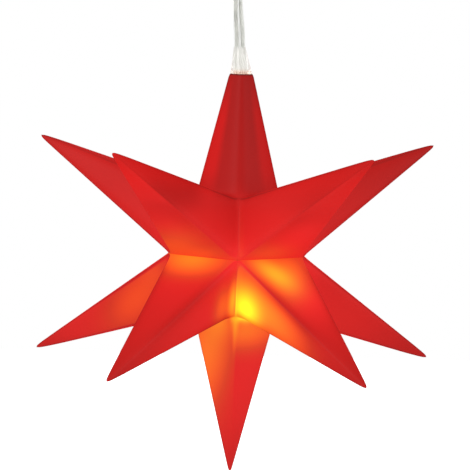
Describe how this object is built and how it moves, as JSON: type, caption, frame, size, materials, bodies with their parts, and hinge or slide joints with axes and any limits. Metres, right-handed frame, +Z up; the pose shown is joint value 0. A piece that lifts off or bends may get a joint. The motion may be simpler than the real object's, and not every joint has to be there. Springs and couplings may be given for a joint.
{
  "type": "lit hanging star",
  "caption": "Hanging star of thin translucent red plastic, lit from inside, on a clear twin lead under its battery box with a hanging eye.",
  "frame": {"origin": "middle of the hanging eye's hole at the top of the battery box", "axes": "+Z up along the hanging line, -Y to the front where the switch is, +X to the right seen from the front"},
  "size_m": [0.1218, 0.1157, 0.2499],
  "materials": {
    "star_red": "satin, translucent, soft ridges",
    "clear_cone": "clear soft plastic, slightly milky",
    "clear_lead": "clear soft plastic over tinned wire",
    "clear_sleeve": "clear shrunk sleeve",
    "lens_epoxy": "clear cast lens",
    "tinned_pins": "tinned",
    "case_white": "fine spark-eroded texture",
    "cover_white": "fine spark-eroded texture",
    "inner_cover_white": "smooth moulded",
    "cell_jacket": "printed film over steel, one plain band",
    "spring_steel": "nickel plated wire",
    "plate_nickel": "nickel plated sheet",
    "red_wire": "soft wire cover",
    "board_green": "lacquered glass laminate",
    "chip_black": "moulded resin",
    "crystal_can": "drawn can",
    "resistor_body": "lacquered, plain bands",
    "switch_can": "stamped sheet",
    "knob_black": "moulded, ribbed",
    "screw_steel": "zinc plated",
    "grommet_clear": "soft milky plastic"
  },
  "bodies": {
    "battery_box": {"battery_case": "case_white", "battery_cell_1": "cell_jacket", "battery_cell_2": "cell_jacket", "battery_cell_3": "cell_jacket", "contact_springs": "spring_steel", "contact_plates": "plate_nickel", "battery_wire": "red_wire", "timer_board": "board_green", "timer_chip": "chip_black", "timer_crystal": "crystal_can", "series_resistor": "resistor_body", "switch_body": "switch_can", "bay_cover": "inner_cover_white", "bay_screws": "screw_steel", "lead_grommet": "grommet_clear", "box_wires": "clear_lead"},
    "cover": {"battery_cover": "cover_white"},
    "switch": {"switch_knob": "knob_black"},
    "lead": {"hanging_lead": "clear_lead"},
    "star": {"upper_shell": "star_red", "lower_shell": "star_red", "cable_cone": "clear_cone", "star_wires": "clear_lead", "led_lens": "lens_epoxy", "led_pins": "tinned_pins", "led_sleeve": "clear_sleeve"}
  },
  "joints": [
    {"name": "cover_slide", "type": "slide", "parent": "battery_box", "child": "cover", "axis": [0, 0, 1], "range_m": [0, 0.055]},
    {"name": "switch_slide", "type": "slide", "parent": "battery_box", "child": "switch", "axis": [1, 0, 0], "range_m": [0, 0.004]},
    {"name": "lead_swing", "type": "hinge", "parent": "battery_box", "child": "lead", "pos_m": [0, 0, -0.0818], "axis": [0, 1, 0], "range_deg": [-15, 15]},
    {"name": "star_turn", "type": "hinge", "parent": "lead", "child": "star", "pos_m": [-0.0007, 0, -0.1158], "axis": [0, 0, 1], "range_deg": [-180, 180]}
  ]
}
